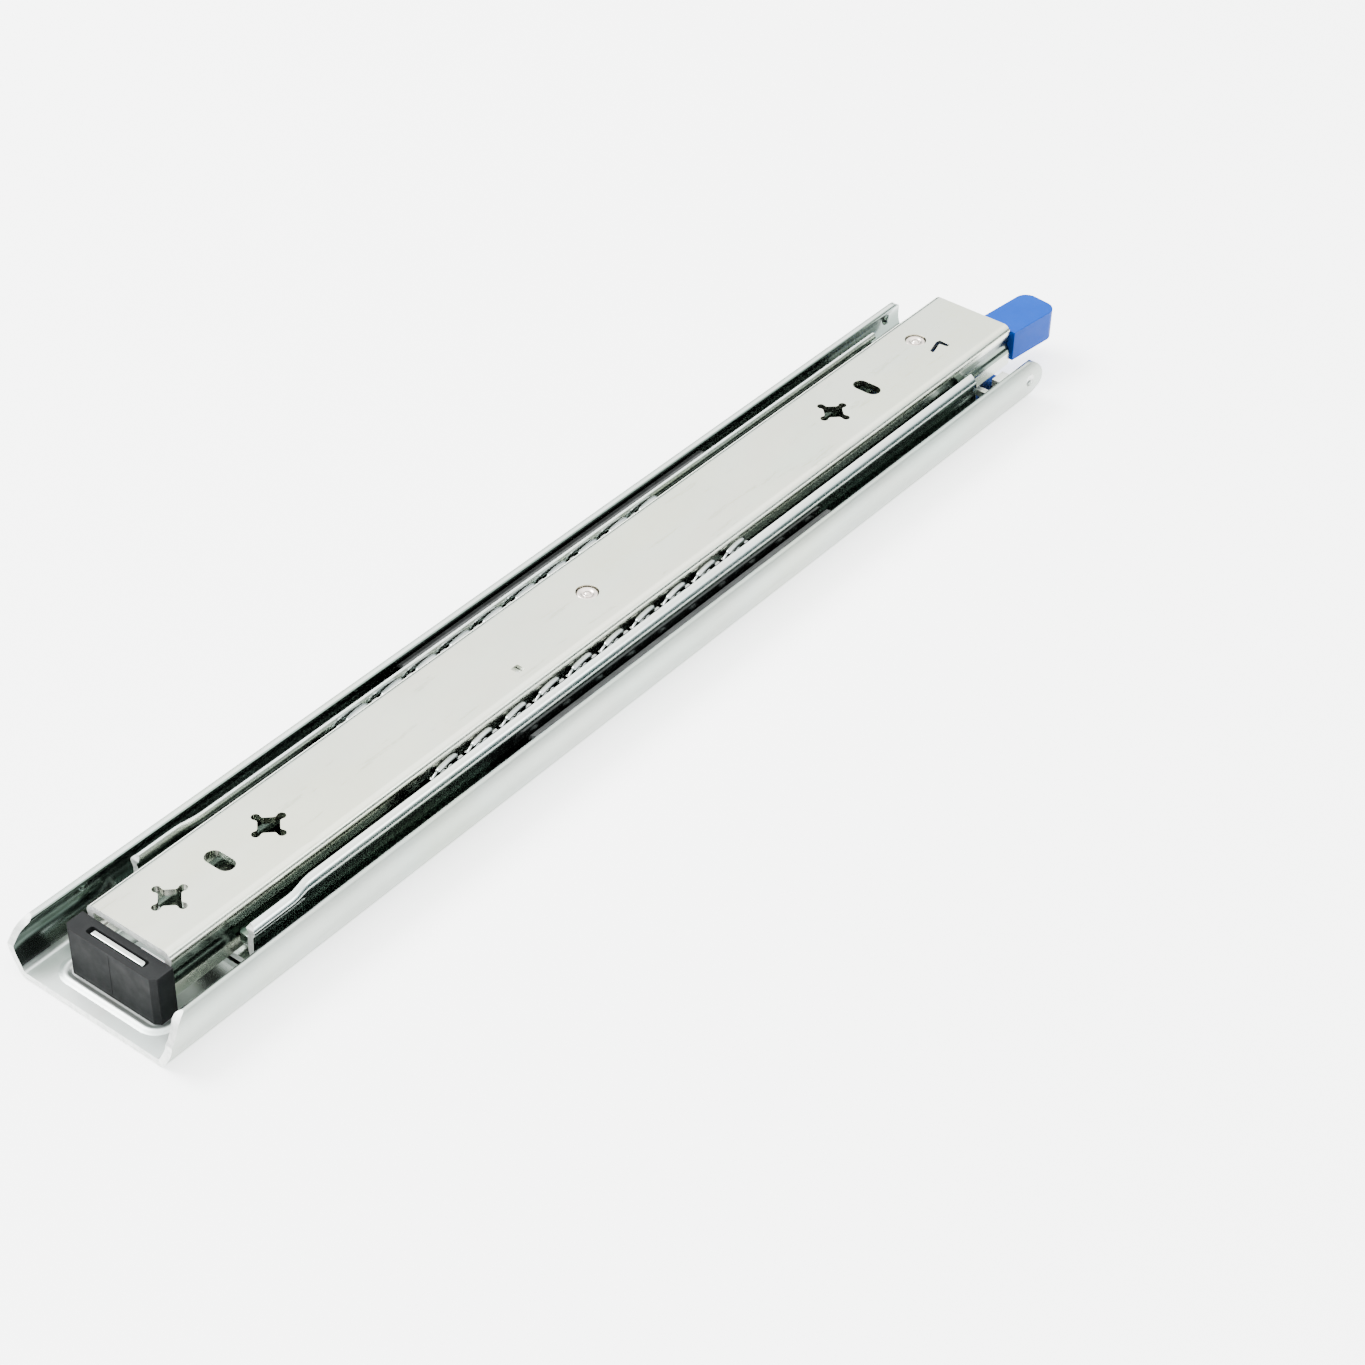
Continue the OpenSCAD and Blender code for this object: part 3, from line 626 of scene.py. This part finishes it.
def make_middle():
    pts = outline(middle_path, MID_T, 0.25)
    rear, front = MIDDLE_REAR, MIDDLE_FRONT
    xs = [rear, rear + 4, rear + 9, -131, -129, -127.5, -126, -124.5, -123, -121, -100, -50, 0, 50,
          100, 140, front]
    bm = bmesh.new()
    rings = []
    for x in xs:
        swell = ease((-121 - x) / 8.0)
        ring = []
        for q in pts:
            s = ease((q.y - 12.7) / 2.6) * swell
            y = q.x + math.copysign(1.15 * s, q.x) if abs(q.x) > 8 else q.x
            ring.append((x, y, q.y - 0.25 * s))
        rings.append(ring)
    add_loops(bm, rings)
    ob = new_object("middle_rail_steel", bm)
    cut = bmesh.new()
    for x in (134, 0, -122):
        add_prism(cut, arc((x, 0), 5.5, 0, 352, 44), 1, 6)
    for s in (-1, 1):
        nose = [(rear - 1, 10.6), (rear + 0.01, 10.8)] + arc((rear + 3.2, 13.0), 3.9, 205, -75, 6) \
            + [(rear + 1.4, 20), (rear - 1, 20)]
        add_prism(cut, nose, min(s * 14, s * 24), max(s * 14, s * 24), "y")
    finish_metal(ob, new_object("cut_middle", cut), 0.25, 3)
    bm = bmesh.new()
    tongue = ([(front - 2, -12), (front + 5.5, -12)] + arc((front + 5.5, -10.5), 1.5, -90, 90, 5)
              + arc((front + 5.5, 10.5), 1.5, 0, 90, 5) + [(front - 2, 12)])
    add_prism(bm, tongue, 2.7, 4.5)
    for s in (-1, 1):
        for x0, x1, y0, y1, z0, z1 in ((rear + 0.1, rear + 2.4, 14.5, 19.2, 9.4, 12.5),
                                       (front - 4, front - 1.4, 15.8, 18.8, 10.0, 12.4)):
            box = round_box(x0, y0, x1, y1, 0.7)
            add_prism(bm, [(x, s * y) for x, y in box], z0, z1)
    extra = new_object("middle_rail_tongue", bm)
    finish_metal(extra, None, 0.3, 2)
    piece(ob, "middle", middle_steel, "zinc_steel", "middle_rail")
    cut_ends(ob, cut_steel, rear + 4, front - 1)
    piece(extra, "middle", middle_steel, "zinc_steel", "middle_rail")


# ---------------------------------------------------------------- inner rail
def cross_outline(x):
    pts = []
    for k in range(4):
        a = 90 * k
        arm = arc((4.3, 0), 1.12, -125, 250, 12)
        side = [(3.1, 0.86), (2.75, 1.06), (1.9, 1.9), (1.06, 2.75), (0.86, 3.1)]
        for p in arm + side:
            c, s = math.cos(math.radians(a)), math.sin(math.radians(a))
            pts.append((x + p[0] * c - p[1] * s, p[0] * s + p[1] * c))
    return pts


def make_inner():
    pts = outline(inner_path, INN_T, 0.4)
    rear, front = INNER_REAR, INNER_FRONT
    bm = bmesh.new()
    add_loops(bm, [[(x, q.x, q.y) for q in pts]
                   for x in (rear, -140, -110, -60, 0, 60, 100, 140, 160, front)])
    ob = new_object("inner_rail_steel", bm)
    cut = bmesh.new()
    for x in (-148.5, -116.5, 107.5):
        add_prism(cut, cross_outline(x), 16, 20)
    for x in (-132.5, 123.5):
        add_prism(cut, stadium(x, 0, 8.6, 4.6, True), 16, 20)
    add_prism(cut, round_box(-36.7, -8.1, -34.1, -5.5, 0.25, 2), 16, 20)
    lance = [(150.4, -3.9), (151.0, -4.1), (155.4, -2.9), (155.7, -5.4), (156.8, -5.5), (157.0, -1.9), (155.6, -1.6),
             (150.6, -2.9)]
    add_prism(cut, lance, 16, 20)
    for x, y in (PIVOT, (0, 0)):
        add_prism(cut, arc((x, y), 3.1, 0, 351, 39), 16, 20)
    finish_metal(ob, new_object("cut_inner", cut), 0.22, 3)
    bm = bmesh.new()
    for s in (-1, 1):
        lug = arc((151.9, 12.6), 0.1, 180, 90, 1) + [(154.3, 12.5), (154.5, 15.6)] \
            + arc((153.6, 15.7), 0.9, 0, 90, 4) + arc((152.5, 15.7), 0.9, 90, 90, 4)
        add_prism(bm, [(x, s * y) for x, y in lug], 10.0, 12.4)
    extra = new_object("inner_rail_tabs", bm)
    finish_metal(extra, None, 0.25, 2)
    piece(ob, "inner", drawer_steel, "zinc_steel", "inner_rail")
    cut_ends(ob, cut_steel, rear + 1, front - 1)
    piece(extra, "inner", drawer_steel, "zinc_steel", "inner_rail")


def make_rivet(name, node, x, y, low):
    head = [(0.02, 19.02), (0.4, 18.99), (0.75, 18.86), (0.98, 18.6), (1.1, 18.42), (1.3, 18.38), (1.5, 18.46),
            (1.7, 18.62), (1.95, 18.7), (2.4, 18.74), (2.62, 18.72), (2.8, 18.6), (2.9, 18.35),
            (2.9, 18.1), (2.5, 17.7), (2.5, low), (4.1, low), (4.1, low - 1.0), (3.9, low - 1.2), (0.02, low - 1.2)]
    bm = bmesh.new()
    lathe(bm, (x, y, 0), head)
    ob = new_object(name, bm)
    shade_smooth(ob, 48)
    piece(ob, "inner", rivet_steel, "rivet_steel", node)


# ---------------------------------------------------------------- cages and balls
PITCH, COUNT = 12.7, 10   # ball pockets in each row
CAGE_HALF = 63.1


def centres(mid):
    return [mid + (i - (COUNT - 1) / 2) * PITCH for i in range(COUNT)]


def make_inner_cage(side, node, balls):
    mid, y, z = -14.5, 15.2 * side, 13.2
    edge = 14.72 * side
    x0, x1 = mid - CAGE_HALF, mid + CAGE_HALF
    bm = bmesh.new()
    add_prism(bm, round_box(x0, 10.75, x1, 15.55, 0.8), y - 0.35, y + 0.35, "y")
    web_ob = new_object("inner_cage_web", bm)
    cut = bmesh.new()
    for c in centres(mid):
        add_prism(cut, arc((c, z), 2.32, 0, 345, 23), y - 2, y + 2, "y")
        slot = arc((c + 3.9, 15.0), 0.55, -90, 180, 6) + arc((c - 3.9, 15.0), 0.55, 90, 180, 6)
        add_prism(cut, slot, y - 2, y + 2, "y")
        add_prism(cut, round_box(c - 6.9, 14.2, c - 5.7, 17, 0.2, 2), y - 2, y + 2, "y")
    finish_metal(web_ob, new_object("cut_cage", cut), 0.1, 2)
    bm = bmesh.new()
    for c in centres(mid):
        finger = [(c - 3.4 + 8.4 * k / 9, edge - 0.42 + 0.84 * k / 9,
                   16.15 + 0.3 * math.sin(math.pi * k / 9)) for k in range(10)]
        tube(bm, finger, 1.5, 0.8, n=12)
        low = -0.42 - 0.9 * (1 if side < 0 else 0.6)
        hook = [(c - 2.6, edge - 0.4, 16.2), (c - 3.9, edge - 0.5, 16.05),
                (c - 5.0, edge - 0.7, 15.6), (c - 5.7, edge + low, 14.9),
                (c - 6.1, edge + low, 14.2)]
        tube(bm, hook, 0.7, 0.6)
        for s, off in ((1, 1.0), (-1, -1.5)):
            curl = [(c + off + s * 1.25 * math.cos(math.radians(a)), 15.3 * side - 0.25,
                     14.35 + 1.35 * math.sin(math.radians(a))) for a in range(5, 176, 17)]
            tube(bm, curl, 0.55, 0.42)
    clips = new_object("inner_cage_fingers", bm)
    shade_smooth(clips)
    bm = bmesh.new()
    for c in centres(mid):
        ball(bm, (c, y, z), INNER_R, 24)
    row = new_object("inner_ball_row", bm)
    shade_smooth(row)
    piece(web_ob, "inner_cages", cage_steel, "bright_cage", node)
    piece(clips, "inner_cages", cage_steel, "bright_cage", node)
    piece(row, "inner_cages", ball_steel, "ball_steel", balls)


def make_outer_cage(side, node, balls):
    mid, y, z = 15.0, 21.75, 9.3
    x0, x1 = mid - CAGE_HALF, mid + CAGE_HALF
    bm = bmesh.new()
    prof = [(20.45, 11.35), (20.75, 11.3), (20.9, 11.9), (21.35, 11.85), (21.35, 6.4), (22.15, 6.4),
            (22.15, 11.85), (23.35, 11.6), (23.5, 11.95),
            (23.1, 12.3), (22.6, 12.2), (22.35, 12.3), (22.1, 12.55), (21.75, 12.6), (21.4, 12.5), (21.2, 12.3),
            (20.8, 12.35), (20.45, 12.2)]
    add_prism(bm, [(p * side, q) for p, q in prof], x0, x1, "x")
    ob = new_object("outer_cage_strip", bm)
    cut = bmesh.new()
    lo, hi = sorted((side * 20, side * 24))
    for c in centres(mid):
        add_prism(cut, arc((c, z), 2.0, 0, 345, 23), lo, hi, "y")
    for xe, s in ((x0, 1), (x1, -1)):
        add_prism(cut, [(xe - s, 10.6), (xe + s * 0.6, 11.2), (xe + s * 2.6, 14), (xe - s, 14)], lo, hi, "y")
    finish_metal(ob, new_object("cut_cage", cut), 0.12, 2)
    bm = bmesh.new()
    for c in centres(mid):
        ball(bm, (c, y * side, z), OUTER_R, 24)
    row = new_object("outer_ball_row", bm)
    shade_smooth(row)
    piece(ob, "outer_cages", dark_steel, "dark_cage", node)
    piece(row, "outer_cages", ball_in_painted_shade, "ball_steel", balls)


# ---------------------------------------------------------------- lever
def make_lever():
    r, ln, w = 3.8, 20.0, 12.4
    z0, z1 = 7.6, 17.1
    bm = bmesh.new()
    shape = [(0, w), (0, 0)] + arc((ln - r, r), r, -90, 90, 8) + arc((ln - r, w - r), r, 0, 90, 8)
    add_prism(bm, shape, z0, z1)
    ob = new_object("lever_handle", bm)
    cut = bmesh.new()
    add_prism(cut, round_box(2.2, 2.2, ln - 2.2, w + 3, 1.4), z0 + 2.2, z1 - 2.2)
    under = [(ln - 5, z0 - 1), (ln + 1, z0 - 1), (ln + 1, z0 + 2.6)] + arc((ln - 2.4, z0 + 2.4), 2.4, 0, -80, 6)
    add_prism(cut, under, -2, w + 2, "y")
    finish_metal(ob, new_object("cut_lever", cut), 0.9, 5, 30, 60)
    turn = Matrix.Rotation(math.radians(-6), 4, "Z")
    turn.translation = Vector((177.0, -14.8, 0)) * MM
    ob.data.transform(turn)
    bm = bmesh.new()

    def bar(a, b, rr, lo, hi):
        h = math.degrees(math.atan2(b[1] - a[1], b[0] - a[0]))
        add_prism(bm, arc(a, rr, h + 90, 180, 12) + arc(b, rr, h - 90, 180, 12), lo, hi)
    neck, pin = (174.5, -5.6), (PIVOT[0], -8.2)
    bar(PIVOT, neck, 4.2, 12.8, 15.4)
    bar(PIVOT, pin, 2.1, 12.8, 15.4)
    bar(neck, (178.2, -7.0), 3.8, 12.81, 15.39)
    arm = new_object("lever_arm", bm)
    cut = bmesh.new()
    add_prism(cut, arc(PIVOT, 2.56, 0, 350, 35), 10, 18)
    add_prism(cut, arc(pin, 1.4, 0, 345, 23), 10, 18)
    finish_metal(arm, new_object("cut_arm", cut), 0.2, 2)
    for o in (ob, arm):
        piece(o, "lever", blue, "blue_plastic", "release_lever")


make_outer()
make_bumper()
make_middle()
make_inner()
make_rivet("lever_rivet_head", "lever_rivet", *PIVOT, 11.15)
make_rivet("pawl_rivet_head", "pawl_rivet", 0.0, 0.0, 13.25)
make_inner_cage(1, "inner_cage_left", "inner_balls_left")
make_inner_cage(-1, "inner_cage_right", "inner_balls_right")
make_outer_cage(1, "outer_cage_left", "outer_balls_left")
make_outer_cage(-1, "outer_cage_right", "outer_balls_right")
make_lever()
for node, mat in (("lockout_catch", lock_steel), ("catch_rivets", rivet_steel), ("travel_stop", lock_steel),
                  ("lever_spring", wire_steel), ("pawl_spring", wire_steel), ("lock_hook", lock_steel),
                  ("link_rod", lock_steel), ("lockout_pawl", lock_steel)):
    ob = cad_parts[node]
    if not ob.data.materials:
        ob.data.materials.append(mat)
    for s in ob.material_slots:
        s.material = mat


# ---------------------------------------------------------------- floor and light
FLOOR = 40000.0


def make_floor():
    bm = bmesh.new()
    n = 24
    verts = [[bm.verts.new(((i / n - 0.5) * FLOOR, (j / n - 0.5) * FLOOR, -0.05)) for j in range(n + 1)]
             for i in range(n + 1)]
    for i in range(n):
        for j in range(n):
            bm.faces.new((verts[i][j], verts[i + 1][j], verts[i + 1][j + 1], verts[i][j + 1]))
    ob = new_object("floor", bm)
    n = Nodes("floor_paper")
    paper = n.ramp(n.noise(9, 2), [(0.3, (0.90, 0.90, 0.905)), (0.7, (0.92, 0.92, 0.925))])
    n.link(paper, n.bsdf.inputs["Base Color"])
    n.set(Roughness=0.8, Emission_Color=(1, 1, 1, 1), Emission_Strength=2.0)
    ob.data.materials.append(n.mat)


def area(name, pos, aim, size, power):
    l = bpy.data.lights.new(name, "AREA")
    l.shape = "RECTANGLE"
    l.size, l.size_y = size
    l.energy = power
    ob = bpy.data.objects.new(name, l)
    bpy.context.scene.collection.objects.link(ob)
    ob.location = pos
    ob.rotation_euler = (Vector(aim) - Vector(pos)).to_track_quat("-Z", "Y").to_euler()


def make_world():
    w = bpy.data.worlds.new("studio")
    bpy.context.scene.world = w
    w.use_nodes = True
    t = w.node_tree
    bg = next(n for n in t.nodes if n.type == "BACKGROUND")
    co = t.nodes.new("ShaderNodeTexCoord")
    dot = t.nodes.new("ShaderNodeVectorMath")
    dot.operation = "DOT_PRODUCT"
    dot.inputs[1].default_value = Vector((0.16, 0.0, 0.98)).normalized()
    t.links.new(co.outputs["Generated"], dot.inputs[0])
    r = t.nodes.new("ShaderNodeValToRGB")
    stops = [(0.0, (0.010, 0.022, 0.022)), (0.26, (0.006, 0.016, 0.015)), (0.40, (0.05, 0.08, 0.08)),
             (0.52, (0.56, 0.62, 0.64)), (0.66, (0.74, 0.75, 0.72)), (0.76, (0.82, 0.82, 0.79)),
             (0.84, (1.05, 1.05, 1.03)), (1.0, (1.1, 1.1, 1.08))]
    set_stops(r, stops)
    t.links.new(dot.outputs["Value"], r.inputs["Fac"])
    t.links.new(r.outputs[0], bg.inputs["Color"])
    bg.inputs["Strength"].default_value = 4.6


make_floor()
make_world()
area("key", (-0.5, 1.5, 1.9), (0, 0, 0), (1.5, 1.1), 150)
area("fill", (0.5, -1.9, 1.2), (0, 0, 0), (2.2, 0.35), 16)
